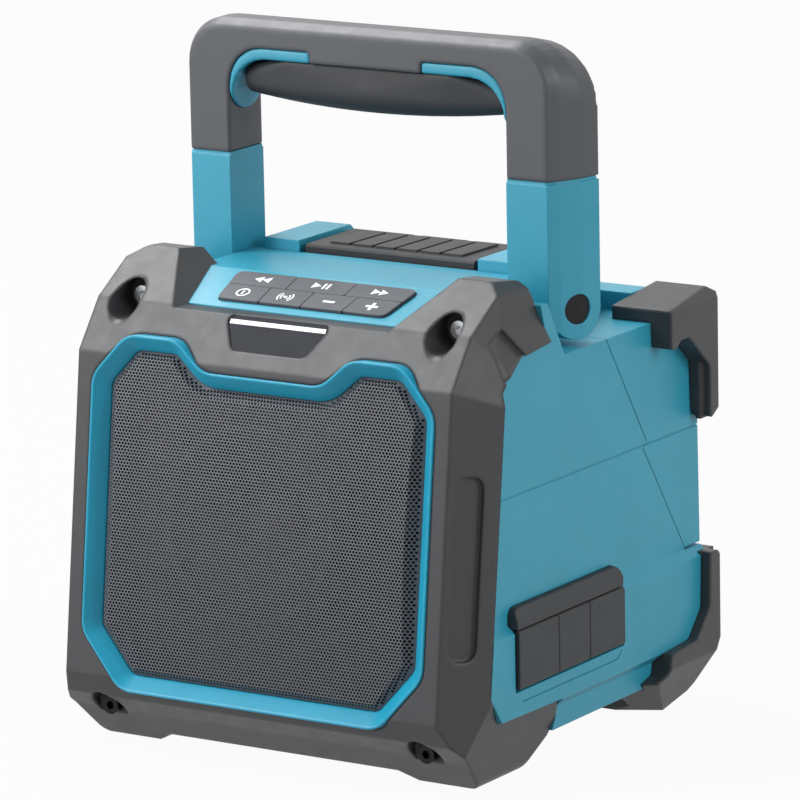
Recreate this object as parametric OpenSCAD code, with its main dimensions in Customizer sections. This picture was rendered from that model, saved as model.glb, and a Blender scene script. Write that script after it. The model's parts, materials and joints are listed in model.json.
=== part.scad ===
// Rugged job-site loudspeaker with a folding carry handle and a rear battery cover.
// X is to the right, Y to the back and Z up. The origin is on the ground under the middle.

/* [Overall] */
// Width over the rear corner bumpers
body_w = 223; // [214:1:236]
// Depth from the front face to the rear corner bumpers
body_d = 211; // [205:1:224]
// Height of the flat top deck
deck_h = 202.5; // [197:0.5:211]
// Lean of the front face, in degrees
front_lean = 7; // [6:0.25:8]

/* [Housing] */
// Wall thickness of the moulded shells
wall = 3; // [2:0.25:3.5]
// How far the lower side panels sit inside the rear bumpers
side_inset = 5; // [4:0.25:6]
// How far the upper side panels sit inside the lower ones
upper_inset = 3.5; // [2.5:0.25:4.5]
// Height of the ledge round the lower body
ledge_h = 69; // [67:0.5:73]
// Height of the faint crease across the side panels
crease_h = 123; // [117:1:129]
// Height of the housing floor above the ground
floor_h = 14; // [12:0.5:16]
// How far the rear wall sits inside the rear bumpers
rear_inset = 6; // [5:0.1:7]

/* [Front bumper] */
// Depth of the front bumper behind the front face
bumper_t = 23.5; // [22:0.5:25]
// Half width of the front face, inside the flares
face_hw = 94.5; // [93:0.5:96]
// Height at which the brow starts to slope back
brow_h = 173; // [172:0.5:175]
// Height of the corner horns above the deck
horn_rise = 8; // [6:0.5:10]
// Diameter of the front screw wells
well_d = 15.5; // [13:0.5:16]
// Diameter of the front cap screws
screw_d = 4; // [3:0.5:5]

/* [Grille] */
// Half width of the grille bezel
bezel_hw = 87; // [85:0.5:88]
// Width of the bezel's visible border
bezel_w = 7; // [5:0.5:8]
// How deep the bezel slopes in to the grille
bezel_dip = 5; // [3:0.5:6]
// How far the grille bows out in the middle
grille_bow = 5; // [3:0.5:6]
// Width of the grille's pressed border
grille_rim = 6.5; // [5:0.5:8]
// Thickness of the grille sheet
grille_t = 1.2; // [0.8:0.1:1.6]

/* [Drivers] */
// Diameter of the woofer's flange
woofer_d = 104; // [96:1:106]
// Sideways place of the woofer
woofer_x = -14; // [-18:1:-12]
// Height of the woofer's middle along the front face
woofer_v = 71; // [66:1:76]
// Diameter of the tweeter's flange
tweeter_d = 36; // [34:1:37]
// Sideways place of the tweeter
tweeter_x = 60; // [59:0.5:60.5]
// Height of the tweeter's middle along the front face
tweeter_v = 83; // [77:1:87]

/* [Controls] */
// Travel of the buttons
button_travel = 1; // [0.6:0.1:1.2]
// How far the buttons stand above the panel
button_rise = 1.3; // [1:0.1:2]
// Gap round each button
button_gap = 0.4; // [0.3:0.05:0.6]
// Thickness of the control panel
panel_t = 3.5; // [2.5:0.25:4]

/* [Handle] */
// Clear width between the handle legs
handle_span = 141.4; // [138:0.2:144]
// Reach of the handle from its pivot to its top
handle_reach = 115; // [107:0.5:122]
// Width of a handle leg at its front
leg_w = 20.2; // [18:0.2:22]
// How much wider the leg gets towards its rear edge
leg_flare = 10; // [8:0.5:11]
// Depth of a handle leg
leg_d = 26; // [24:0.2:27]
// Diameter of the pivot bolts
pivot_d = 8; // [6:0.5:10]
// Radius of the grip at its thickest
grip_r = 11.7; // [10.5:0.1:12.5]

/* [Battery cover] */
// Width of the tower between the handle legs
tower_w = 128; // [122:1:132]
// Height of the tower above the deck
tower_rise = 5; // [4:0.25:6]
// Diameter of the cover's hinge pin
hinge_d = 3; // [2.5:0.25:3.5]
// Width of the latch pad
latch_w = 87; // [80:1:90]
// Thickness of the latch pad
latch_t = 4.4; // [3.5:0.1:5]

/* [Ports] */
// Height of the port flaps
flap_h = 24; // [22:0.5:25]
// Thickness of the port flaps
flap_t = 3.2; // [2.6:0.1:3.6]
// Gap round each flap
flap_gap = 0.4; // [0.3:0.05:0.6]

/* [Hidden] */
$fn = 64;

teal = "#1f93ad";
dark = "#4a4b4d";
black = "#202124";
steel = "#b9bcc0";
board_green = "#2c5e3f";
white = "#e8ecef";
copper = "#b87333";

// Fits shared by the pieces
run_fit = 0.05;
seat_fit = 0.15;
part_gap = 0.5;

// Planes of the body
half_w = body_w / 2;
front_y = -body_d / 2;
rear_y = body_d / 2;
back_y = rear_y - rear_inset;
side_x = half_w - side_inset;
upper_x = side_x - upper_inset;
skirt_x = side_x - 5;
stripe_low = floor_h + 10;
stripe_top = floor_h + 14.5;
ledge_slope = 3.5;
chin_h = 34;
chin = [[30, 0], [14.6, 16], [5.6, 24]];
sole_l = 18;
tilt = tan(front_lean);

// Handle pivot, legs and shoulder
leg_r = leg_d / 2;
pivot_y = front_y + 113.35;
pivot_z = deck_h - 11.5;
leg_in = handle_span / 2;
boss_x = leg_in - 1;
leg_out = leg_in + leg_w;
shoulder_h = pivot_z - leg_r - 3;
handle_top = pivot_z + handle_reach;
leg_top = pivot_z + 56;
front_edge = pivot_y - leg_r;

// Front face and brow
function face_y(z) = front_y + (z - chin_h) * tilt;
function split_y(z) = face_y(z) + bumper_t;
brow_y = face_y(brow_h) + 15.3;
shelf_h = deck_h - 9;
horn_y = front_edge - 21.5;
horn_h = deck_h + horn_rise;
arm_low = stripe_top;
arm_in = side_x - 15;
arm_end = horn_y + 5;
panel_y = brow_y + 10;
panel_z = deck_h - 10;
deck_y = horn_y - 6;
panel_tilt = atan2(deck_h - panel_z, deck_y - panel_y);
deck_low = deck_h - panel_t;
panel_low = panel_z - panel_t / cos(panel_tilt);
// Height of the panel's underside at depth y
function panel_under(y) = panel_low + (y - panel_y) * (deck_low - panel_low) / (deck_y - panel_y);
// Rear edge of the horns at height z, which leans back towards its foot
arm_foot = 19.3;
arm_lean = 3.8 / (arm_foot - panel_t);
function arm_back(z) = horn_y + (deck_low - z) * arm_lean;
// Lower edge of the upper arms, from the front to the rear
arm_line = [
    [split_y(deck_h - 33), deck_h - 33], [horn_y - 36, deck_h - 30], [horn_y - 17, deck_h - 21],
    [arm_back(deck_h - arm_foot), deck_h - arm_foot]
];
// Inner faces of the horns: half width at the shelf and spread per unit of height
cheek_hw = 55.5;
cheek_spread = 0.87;
mid_hw = cheek_hw - 2.5;

// Cover split line, seen from the side
cover_top_y = pivot_y + leg_r + 4.4;
cover_low_y = back_y - 13;
cover_low = ledge_h + 1.2;
crease_jog = 2.9;
crease_y = cover_top_y + (cover_low_y - cover_top_y) * (shoulder_h - crease_h) / (shoulder_h - cover_low);
tower_hw = tower_w / 2;
tower_h = deck_h + tower_rise;
tower_front = pivot_y + 2.75;
tower_rear = pivot_y + 43.75;
tower_seat = deck_h - 4.6;
plateau_h = shoulder_h + 8.5;
plateau_y = tower_rear + 27;
plateau_hw = side_x - 25;
slab_t = 6;
slab_rise = 4;
hinge_y = back_y + 1.4;
hinge_z = ledge_h + 2;
hinge_r = hinge_d / 2 + 1.8;
knuckle_w = 18;
knuckle_x = 40;
cover_knuckles = [for (x = [-knuckle_x, 0, knuckle_x]) x + knuckle_w * 0.9];

// Front stack, measured outwards from the front face
baffle_t = 4;
split_out = -bumper_t * cos(front_lean);
baffle_out = split_out + baffle_t;
bezel_out = 0.8;
bezel_low = chin_h - 5;
bezel_high = brow_h + 9;
bezel_notch = brow_h - 3.6;
bezel_lip = 1.2;
bezel_r = 13;
grille_edge = -bezel_dip - 0.4;
led_t = 4;

// Latch
latch_hw = latch_w / 2;
latch_bay = latch_hw + 2.5;
latch_floor = tower_h - 1.5 - latch_t - part_gap;
latch_z = latch_floor + part_gap;
latch_front = tower_front + 1;
latch_rear = tower_rear - 1;
latch_axis_y = latch_rear - 3.2;
latch_axis_z = latch_z + latch_t / 2;
latch_pin_d = 2.4;

// Ports on the right side
flap_x = side_x + 1.7 - flap_t / 2;
flap_z = ledge_h - 3.8;
flap_lines = [for (y = [45, 77, 102.5, 132]) front_y + y];
recess_x = flap_x - flap_t / 2 - 1.6;
spine_z = flap_z + flap_t / 2 + flap_gap;
spine_h = 9;
groove_z = flap_z - flap_h - 6.5;
jack_in = upper_x - 12;
jack_out = recess_x + 0.7;
port_z = flap_z - flap_h / 2;

// Outline helpers
function unit(v) = v / norm(v);
function left_of(v) = [-v.y, v.x];
function turned(v, a) = [v.x * cos(a) - v.y * sin(a), v.x * sin(a) + v.y * cos(a)];
// Corner i of a closed outline, rounded with radius r in equal steps
function corner_arc(a, p, b, r, steps) =
    let (u = unit(p - a), v = unit(b - p), turn = atan2(u.x * v.y - u.y * v.x, u * v))
    let (start = p - u * r * tan(abs(turn) / 2))
    let (spoke = -left_of(u) * r * sign(turn), middle = start - spoke)
    r == 0 || abs(turn) < 0.5 ? [p] : [for (k = [0:steps]) middle + turned(spoke, turn * k / steps)];
// Closed outline with one radius per corner, or one for all
function rounded(pts, r, steps = 5) =
    let (n = len(pts))
    [for (i = [0:n - 1])
        each corner_arc(pts[(i + n - 1) % n], pts[i], pts[(i + 1) % n], is_list(r) ? r[i] : r, steps)];
// Outline moved inwards by d, for points that run anticlockwise
function inset(pts, d) =
    let (n = len(pts))
    [for (i = [0:n - 1])
        let (p = pts[i], a = pts[(i + n - 1) % n], b = pts[(i + 1) % n])
        let (u = left_of(unit(p - a)), v = left_of(unit(b - p)))
        p + d * (u + v) / (1 + u * v)];
// A right half outline, listed upwards, with its mirror image
function both_sides(half) = concat(half, [for (i = [len(half) - 1:-1:0]) [-half[i].x, half[i].y]]);

// Placing helpers
module along_x(w) { rotate([90, 0, 90]) linear_extrude(w, center = true) children(); }
module along_y(d) { rotate([90, 0, 0]) linear_extrude(d, center = true) children(); }
module side_slab(x0, x1) { translate([(x0 + x1) / 2, 0, 0]) along_x(abs(x1 - x0)) children(); }
module depth_slab(y0, y1) { translate([0, (y0 + y1) / 2, 0]) along_y(abs(y1 - y0)) children(); }
module left_and_right() { for (m = [0, 1]) mirror([m, 0, 0]) children(); }
module rod_x(r, x0, x1, y, z) { translate([x0, y, z]) rotate([0, 90, 0]) cylinder(r = r, h = x1 - x0); }
// Front face frame: x across, y up the face, z outwards
module on_front() { translate([0, front_y, chin_h]) rotate([90 - front_lean, 0, 0]) children(); }
// Control panel frame: x across, y up the slope, z outwards
module on_panel() { translate([0, panel_y, panel_z]) rotate([panel_tilt, 0, 0]) children(); }
// Brow frame: x across, y up the brow, z outwards
brow_slope = atan2(shelf_h - brow_h, brow_y - face_y(brow_h));
brow_l = norm([shelf_h - brow_h, brow_y - face_y(brow_h)]);
module on_brow() { translate([0, face_y(brow_h), brow_h]) rotate([brow_slope, 0, 0]) children(); }
// Battery bay frame: x across, y down the slanted wall, z out of the wall
bay_slope = atan2(shoulder_h - cover_low, cover_low_y - cover_top_y);
module on_bay(t) {
    translate([0, cover_top_y + (cover_low_y - cover_top_y) * t, shoulder_h + (cover_low - shoulder_h) * t])
        rotate([-bay_slope, 0, 0]) children();
}
module ring(r_out, r_in, h) {
    difference() {
        cylinder(r = r_out, h = h);
        translate([0, 0, -1]) cylinder(r = r_in, h = h + 2);
    }
}

// Body outlines
body_half = [
    [skirt_x, floor_h], [skirt_x, stripe_low], [side_x, stripe_top], [side_x, ledge_h - ledge_slope],
    [upper_x, ledge_h], [upper_x - 0.6, crease_h], [upper_x - 3, tower_h + 1]
];
// Teal body seen from the side, without the cover
housing_side = [
    [split_y(floor_h), floor_h], [back_y - 2, floor_h], [back_y, floor_h + 2], [back_y, ledge_h],
    [cover_low_y - part_gap, ledge_h], [cover_low_y - part_gap, cover_low],
    [crease_y - crease_jog - part_gap, crease_h - 1.5], [crease_y - part_gap, crease_h + 1.5],
    [cover_top_y - part_gap, shoulder_h], [cover_top_y - part_gap, tower_seat],
    [tower_front - part_gap, tower_seat], [tower_front - part_gap, deck_low],
    [horn_y, deck_low], for (k = [3:-1:0]) arm_line[k]
];
cover_side = [
    [cover_low_y, cover_low], [back_y, cover_low], [back_y, plateau_h - 6], [back_y - 6, plateau_h],
    [plateau_y, plateau_h], [tower_rear, tower_h], [tower_front, tower_h],
    [tower_front, tower_seat + part_gap], [cover_top_y, tower_seat + part_gap],
    [cover_top_y, shoulder_h], [crease_y, crease_h + 1.5], [crease_y - crease_jog, crease_h - 1.5]
];
chin_side = [for (p = chin) [front_y + p.x, p.y]];
lower_arm_side = concat([
    [arm_end - 21, 0], [arm_end - 4, floor_h - 2], [arm_end, floor_h + 5], [arm_end - 1, arm_low],
    [split_y(arm_low) + 10, arm_low + 1], [split_y(arm_low + 13), arm_low + 13],
    [face_y(arm_low + 13), arm_low + 13], [front_y, chin_h]
], [for (i = [2:-1:0]) chin_side[i]]);
bezel_half = [
    [bezel_hw - 21, bezel_low], [bezel_hw, bezel_low + 24], [bezel_hw, bezel_high - 19],
    [bezel_hw - 17, bezel_high], [bezel_hw - 43, bezel_high], [bezel_hw - 57, bezel_notch]
];
function on_face(pts) = [for (p = pts) [p.x, (p.y - chin_h) / cos(front_lean)]];
bezel_corners = on_face(both_sides(bezel_half));
tray_corners = on_face(both_sides([for (k = [0:3]) bezel_half[k]]));
function bezel_round(d) = max(bezel_r - d, 5);
function bezel_outline(d) = rounded(inset(bezel_corners, d), bezel_round(d));

// Teal body block with its side steps, before any hollow
module body_block(side_outline) {
    intersection() {
        along_y(2 * body_d) polygon(both_sides(body_half));
        along_x(2 * body_w) polygon(side_outline);
    }
}

// Fine groove along the crease of both sides
module crease_grooves() {
    left_and_right() translate([upper_x - 1.1, front_y, crease_h - 0.4]) cube([body_w, 2 * body_d, 0.8]);
}

// Room in which the handle legs stand and swing
module leg_room() {
    left_and_right() side_slab(boss_x, body_w) polygon([
        [front_edge - 4, shoulder_h], [horn_y + 3, deck_h + 1], [horn_y + 3, handle_top],
        [body_d, handle_top], [body_d, shoulder_h]
    ]);
}

// Hollow of the loudspeaker box: a mouth behind the baffle and the chamber
chamber_low = stripe_top + 4;
chamber_high = deck_h - 36;
chamber_x = upper_x - wall - 2;
module chamber() {
    on_front() translate([0, 0, -bumper_t - 6]) linear_extrude(12) polygon(bezel_outline(6));
    along_x(2 * chamber_x) polygon([
        [split_y(chamber_low) + 4, chamber_low], [back_y - wall, chamber_low],
        [back_y - wall, ledge_h - wall], [cover_low_y - wall - 7, ledge_h - wall],
        [cover_low_y - wall - 7, cover_low], [cover_top_y - wall - 7, chamber_high],
        [split_y(chamber_high) + 4, chamber_high]
    ]);
}
// Hollow under the control panel
module key_room() {
    intersection() {
        translate([-mid_hw + wall, panel_y + wall, deck_h - 28])
            cube([2 * (mid_hw - wall), tower_front - 2 * wall - panel_y, 40]);
        along_x(body_w) polygon([
            [panel_y, panel_z - panel_t - 14], [tower_front, deck_low - 14],
            [tower_front, deck_h], [panel_y, deck_h]
        ]);
    }
}
// Teal block that carries the control panel between the horns
module panel_block(d) {
    side_slab(-mid_hw + d, mid_hw - d) polygon([
        [panel_y + 2 + d, deck_h - 30], [horn_y + 1, deck_h - 30], [horn_y + 1, deck_low],
        [deck_y, deck_low], [panel_y + 2 + d, panel_under(panel_y + 2 + d)]
    ]);
}

module main_housing() {
    color(teal) difference() {
        union() {
            difference() {
                body_block(housing_side);
                left_and_right() side_slab(arm_in, body_w) polygon(lower_arm_side);
            }
            panel_block(seat_fit);
            // Hinge knuckles of the cover
            for (x = [-knuckle_x, knuckle_x])
                difference() {
                    union() {
                        rod_x(hinge_r, x - knuckle_w / 2, x + knuckle_w / 2, hinge_y, hinge_z);
                        translate([x - knuckle_w / 2, hinge_y - 1.4, ledge_h - 8])
                            cube([knuckle_w, 1.4 + hinge_r, 10]);
                    }
                    translate([x - knuckle_w, hinge_y - hinge_r - 1, ledge_h])
                        cube([2 * knuckle_w, hinge_r - 0.4, 10]);
                }
            // Ramped keeper under the latch lip
            side_slab(-24, 24) polygon([
                [latch_front + 2.1, tower_seat], [latch_front + 5, tower_seat + 2],
                [latch_front + 5, tower_seat]
            ]);
        }
        leg_room();
        crease_grooves();
        chamber();
        key_room();
        left_and_right() rod_x(pivot_d / 2 + run_fit, mid_hw - wall - 1, leg_in, pivot_y, pivot_z);
        rod_x(hinge_d / 2 + run_fit, -body_w, body_w, hinge_y, hinge_z);
        // Room for the cover's knuckles
        for (x = cover_knuckles)
            rod_x(hinge_r + part_gap, x - part_gap, x + knuckle_w * 0.6 + part_gap, hinge_y, hinge_z);
        // Seats of the port cover and holes for the sockets
        translate([recess_x, flap_lines[0] - 1, flap_z - flap_h - flap_gap - 1])
            cube([20, flap_lines[3] - flap_lines[0] + 2, flap_h + flap_gap + 1 + flap_t]);
        spine_solid(seat_fit);
        port_sockets(seat_fit);
        // Finger groove below the flaps
        side_slab(side_x - 0.8, body_w) polygon([
            [flap_lines[0] + 4, groove_z], [flap_lines[3] - 4, groove_z], [flap_lines[3], groove_z + 3.5],
            [flap_lines[3] - 1, groove_z + 3.5], [flap_lines[3] - 4.4, groove_z + 0.8],
            [flap_lines[0] + 4, groove_z + 0.8]
        ]);
        front_screw_places() translate([0, 0, -screw_l - 1])
            cylinder(d = screw_d + 2 * run_fit, h = screw_l + 30);
        rear_screw_places() translate([0, 0, -14]) cylinder(d = screw_d + 2 * run_fit, h = 30);
        on_bay(0.45) for (x = [-34, 34], y = [-24, 24])
            translate([x, y, -5]) cylinder(d = 3, h = 8);
    }
}

// Bumper outline seen from the front, with the flared sides
bumper_half = [
    [side_x - 10, 0], [side_x - 3, chin_h - 6], [side_x, chin_h + 5], [side_x, deck_h - 28],
    [side_x - 8, deck_h - 8], [side_x - 11, horn_h - 4], [side_x - 19, horn_h + 1]
];
// Bumper seen from the side: front face, brow, horns and upper arms
sole_y = chin_side[0].x + sole_l;
bumper_side = concat([
    [sole_y, 0], [sole_y, floor_h - seat_fit], [split_y(floor_h - seat_fit), floor_h - seat_fit],
    each arm_line, [arm_back(horn_h - 1), horn_h - 1], [horn_y - 18, horn_h + 1],
    [brow_y, shelf_h], [face_y(brow_h), brow_h], [front_y, chin_h]
], [for (i = [2:-1:0]) chin_side[i]]);

// Sunk field in the side of the upper arms, open towards their lower edge
arm_pocket = [
    [horn_y - 38.6, deck_h - 13], [horn_y - 36, deck_h - 30.5], [horn_y - 17, deck_h - 21.5],
    [horn_y - 28.6, deck_h - 8]
];

// Places of the four front screws: x across, z towards the front
screw_l = 26;
module front_screw_places() {
    left_and_right() {
        translate([face_hw - 13.5, front_y + 17, floor_h + 3.5]) rotate([90, 0, 0]) children();
        translate([face_hw - 14, brow_y + 17, deck_h - 9.5]) rotate([90, 0, 0]) children();
    }
}

// Block whose sides flare back from the edge of the front face, the brow and the horns
front_line = [
    [face_y(-body_d), -body_d], [2 * body_d, -body_d], [2 * body_d, horn_h + 1],
    [horn_y - 18, horn_h + 1], [brow_y, shelf_h], [face_y(brow_h), brow_h]
];
flare_rate = (side_x - face_hw) / bumper_t;
module flared(d = 0) {
    hull() for (t = [-6, bumper_t])
        side_slab(d - face_hw - t * flare_rate, face_hw + t * flare_rate - d) polygon(inset(front_line, t));
}
// Long rounded pocket in the flared side of the bumper, from v0 to v1 up the face
flare_l = norm([side_x - face_hw, bumper_t]);
flare_turn = atan2(side_x - face_hw, bumper_t);
module flare_pocket(v0, v1, w, depth) {
    left_and_right() on_front() translate([face_hw, 0, 0]) rotate([0, 90 - flare_turn, 0])
        translate([flare_l * 0.42, 0, -depth]) linear_extrude(20)
            polygon(rounded([[-w / 2, v0], [w / 2, v0], [w / 2, v1], [-w / 2, v1]], w * 0.4));
}

module front_bumper() {
    color(dark) difference() {
        intersection() {
            union() {
                along_x(2 * body_w) polygon(bumper_side);
                left_and_right() side_slab(arm_in + seat_fit, body_w) polygon(lower_arm_side);
            }
            along_y(2 * body_d) polygon(rounded(both_sides(bumper_half), 5));
            flared();
        }
        // Room above the shelf and the control panel
        intersection() {
            along_x(2 * body_w) polygon([
                [front_y - 9, shelf_h], [panel_y, panel_z - 0.6], [panel_y, panel_low],
                [deck_y, deck_low], [rear_y, deck_low], [rear_y, 2 * deck_h], [front_y - 9, 2 * deck_h]
            ]);
            along_y(2 * body_d) polygon(both_sides([
                [cheek_hw - 20 * cheek_spread, shelf_h - 20], [cheek_hw + 60 * cheek_spread, shelf_h + 60]
            ]));
        }
        side_slab(-mid_hw - seat_fit, mid_hw + seat_fit) polygon([
            [panel_y + 2, deck_h - 30 - seat_fit], [rear_y, deck_h - 30 - seat_fit],
            [rear_y, deck_low + 1], [deck_y, deck_low + 1], [panel_y + 2, panel_under(panel_y + 2) + 1]
        ]);
        // Opening for the bezel
        on_front() translate([0, 0, -bumper_t - 20]) linear_extrude(50) polygon(bezel_outline(-seat_fit));
        on_brow() translate([0, 0, -led_t]) linear_extrude(20) polygon(led_outline(-seat_fit));
        front_screw_places() {
            cylinder(d = well_d, h = 60);
            translate([0, 0, -screw_l - 1]) cylinder(d = screw_d + 2 * run_fit, h = 2 * screw_l);
        }
        // Wider mouth at the low side of the upper wells
        left_and_right() translate([face_hw - 14, brow_y - 4.2, deck_h - 9.5]) rotate([90, 0, 0])
            cylinder(d1 = well_d, d2 = well_d + 8, h = 8);
        flare_pocket(27, 105, 14, 2.4);
        left_and_right() difference() {
            side_slab(0, body_w) polygon(arm_pocket);
            intersection() {
                along_y(3 * body_d) polygon(inset(both_sides(bumper_half), 2));
                flared(2);
            }
        }
        // Relief between the feet
        depth_slab(front_y, sole_y + 9) polygon(both_sides([[68.5, -1], [58.5, 4.4]]));
    }
}

module front_screws() {
    color(steel) front_screw_places() difference() {
        union() {
            cylinder(d = screw_d * 2, h = screw_d);
            translate([0, 0, -screw_l]) cylinder(d = screw_d, h = screw_l + 1);
        }
        translate([0, 0, screw_d * 0.4]) cylinder(d = screw_d, h = screw_d, $fn = 6);
    }
}

// Outline of the block that stands into the bezel's opening below the indicator
function notch_outline(d) = let (p = inset(bezel_corners, d))
    rounded([p[5], 2 * p[4] - p[5], 2 * p[7] - p[6], p[6]], [bezel_round(d), 0, 0, bezel_round(d)]);
// Funnel that slopes from the bezel's lip in to the grille: a tapered tray less the tapered block
module bezel_funnel() {
    difference() {
        hull() {
            linear_extrude(bumper_t) polygon(rounded(inset(tray_corners, bezel_lip), bezel_round(bezel_lip)));
            translate([0, 0, -bezel_dip]) linear_extrude(0.1)
                polygon(rounded(inset(tray_corners, bezel_w), bezel_round(bezel_w)));
        }
        hull() {
            linear_extrude(2 * bumper_t) polygon(notch_outline(bezel_lip));
            translate([0, 0, -2 * bezel_dip]) linear_extrude(bezel_dip) polygon(notch_outline(bezel_w));
        }
    }
}
module grille_bezel() {
    color(teal) on_front() difference() {
        translate([0, 0, baffle_out]) linear_extrude(bezel_out - baffle_out) polygon(bezel_outline(0));
        translate([0, 0, -bumper_t]) linear_extrude(2 * bumper_t) polygon(bezel_outline(bezel_w));
        bezel_funnel();
    }
}

// Bowed block under the grille's surface, with a pressed border all round
grille_mid = ((bezel_low + bezel_high) / 2 - chin_h) / cos(front_lean);
grille_span = bezel_high - bezel_low - 2 * bezel_w;
bow_rise = grille_bow / 2;
bow_r = grille_span * grille_span / (8 * bow_rise) + bow_rise / 2;
grille_crest = grille_edge + grille_bow + 1;
module grille_block(d) {
    top = d + grille_rim;
    difference() {
        hull() {
            translate([0, 0, baffle_out]) linear_extrude(grille_edge - baffle_out)
                polygon(rounded(inset(tray_corners, d), bezel_round(d)));
            translate([0, 0, grille_crest]) linear_extrude(0.1)
                polygon(rounded(inset(tray_corners, top), bezel_round(top)));
        }
        hull() {
            translate([0, 0, baffle_out - 2]) linear_extrude(grille_edge - baffle_out + 2)
                polygon(notch_outline(d));
            translate([0, 0, grille_crest]) linear_extrude(9) polygon(notch_outline(top));
        }
    }
}
module bowed(d, drop) {
    intersection() {
        grille_block(d);
        translate([0, grille_mid, grille_edge + grille_bow - bow_r]) rotate([0, 90, 0])
            cylinder(r = bow_r - drop, h = body_w, center = true, $fn = 256);
    }
}
module speaker_grille() {
    color(black) on_front() difference() {
        bowed(bezel_w + seat_fit, 0);
        translate([0, 0, -1]) bowed(bezel_w + seat_fit + grille_t, grille_t - 1);
    }
}

module on_woofer() { on_front() translate([woofer_x, woofer_v, baffle_out]) children(); }
module on_tweeter() { on_front() translate([tweeter_x, tweeter_v, baffle_out]) children(); }
woofer_r = woofer_d / 2;
cone_r = woofer_r - 12;
coil_r = 12.5;
basket_r = woofer_r - 7;
magnet_r = 34;
magnet_z = -42;
tweeter_r = tweeter_d / 2;
flange_t = 2;
cone_z = -1;

module baffle() {
    color(black) difference() {
        on_front() translate([0, 0, split_out]) linear_extrude(baffle_t) polygon(bezel_outline(seat_fit));
        on_woofer() translate([0, 0, -20]) cylinder(r = basket_r + seat_fit, h = 40);
        on_tweeter() translate([0, 0, -20]) cylinder(r = tweeter_r - 5 + seat_fit, h = 40);
        woofer_screw_places() translate([0, 0, -20]) cylinder(d = 3, h = 40);
    }
}

module woofer_screw_places() {
    on_woofer() for (k = [0:3]) rotate(45 + 90 * k) translate([woofer_r - 3.4, 0, flange_t]) children();
}
module woofer_basket() {
    color(black) difference() {
        on_woofer() difference() {
            rotate_extrude() polygon([
                [basket_r - 2, -14], [basket_r - 2, -1.5], [woofer_r - 7, -1.5], [woofer_r - 7, 0],
                [woofer_r, 0], [woofer_r, flange_t], [woofer_r - 8.5, flange_t], [woofer_r - 9, -0.5],
                [basket_r - 4, -3], [basket_r - 4, -14], [magnet_r - 2, magnet_z + 2],
                [coil_r + 4, magnet_z + 2], [coil_r + 4, magnet_z], [magnet_r, magnet_z]
            ]);
            // Windows of the basket
            for (k = [0:5]) rotate(60 * k) translate([coil_r + 12, -9, -36]) cube([woofer_r, 18, 20]);
        }
        woofer_screw_places() translate([0, 0, -20]) cylinder(d = 3, h = 40);
    }
}
// Half-round roll between the flange and the cone
module woofer_surround() {
    color(black) on_woofer() rotate_extrude() translate([(woofer_r - 8.5 + cone_r) / 2, flange_t])
        difference() {
        circle(r = (woofer_r - 8.5 - cone_r) / 2 + 0.6);
        circle(r = (woofer_r - 8.5 - cone_r) / 2 - 0.6);
        translate([-10, -20]) square([20, 20]);
    }
}
module woofer_cone() {
    color(dark) on_woofer() rotate_extrude() polygon(concat(
        [[coil_r, -22], [coil_r + 0.8, -23], [cone_r - 0.9, cone_z], [cone_r - 0.9, cone_z + 1]],
        [for (a = [0:15:90]) [(coil_r + 2.4) * cos(a), -20 + 7 * sin(a)]],
        [[0, -13.8]], [for (a = [75:-15:0]) [(coil_r + 1.2) * cos(a), -21 + 7 * sin(a)]]
    ));
}
module voice_coil() {
    color(copper) on_woofer() translate([0, 0, magnet_z - 8])
        ring(coil_r + 0.5, coil_r - 0.2, 8 - magnet_z - 23.1);
}
module woofer_magnet() {
    color(black) on_woofer() rotate_extrude() polygon([
        [0, magnet_z - 22], [magnet_r, magnet_z - 22], [magnet_r, magnet_z], [coil_r + 1, magnet_z],
        [coil_r + 1, magnet_z - 14], [coil_r - 0.8, magnet_z - 14], [coil_r - 0.8, magnet_z], [0, magnet_z]
    ]);
}
module woofer_screws() {
    color(steel) woofer_screw_places() difference() {
        union() {
            cylinder(d = 5.4, h = 1.8);
            translate([0, 0, -7]) cylinder(d = 2.9, h = 8);
        }
        translate([0, 0, 0.8]) cylinder(d = 2.6, h = 2, $fn = 6);
    }
}
module tweeter_frame() {
    color(black) on_tweeter() rotate_extrude() polygon([
        [0, -18], [tweeter_r - 5, -18], [tweeter_r - 5, 0], [tweeter_r, 0], [tweeter_r, flange_t],
        [tweeter_r - 5, flange_t], [tweeter_r - 7.5, -1.5], [0, -1.5]
    ]);
}
module tweeter_dome() {
    color(dark) on_tweeter() translate([0, 0, -1.5]) intersection() {
        cylinder(r = tweeter_r - 8, h = 20);
        translate([0, 0, 4.5 - tweeter_r]) sphere(r = tweeter_r);
    }
}

// Indicator window in the brow
function led_outline(d) =
    let (low = brow_l * 0.3, high = brow_l - 1.4)
    rounded(inset([[-18.5, low], [18.5, low], [27, high], [-27, high]], d), [5, 5, 3, 3], 4);
led_bar_y = brow_l - 5.4;
module led_window() {
    color(black) on_brow() difference() {
        translate([0, 0, -led_t]) linear_extrude(led_t - 0.6) polygon(led_outline(0));
        translate([-24.4, led_bar_y - seat_fit, -1.8]) cube([48.8, 2 + 2 * seat_fit, 3]);
    }
}
module led_light_bar() {
    color(white) on_brow() translate([-24.2, led_bar_y, -1.8]) cube([48.4, 2, 1.6]);
}

// Button cluster: two rows on the sloped panel
row_front = 4.8;
row_split = 17.4;
row_rear = 28.6;
function cluster_hw(s) = 42.5 + (s - row_front) * 0.15;
function cluster_outline(d) =
    rounded(inset([
        [-cluster_hw(row_front), row_front], [cluster_hw(row_front), row_front],
        [cluster_hw(row_rear), row_rear], [-cluster_hw(row_rear), row_rear]
    ], d), 3.2, 4);
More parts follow.
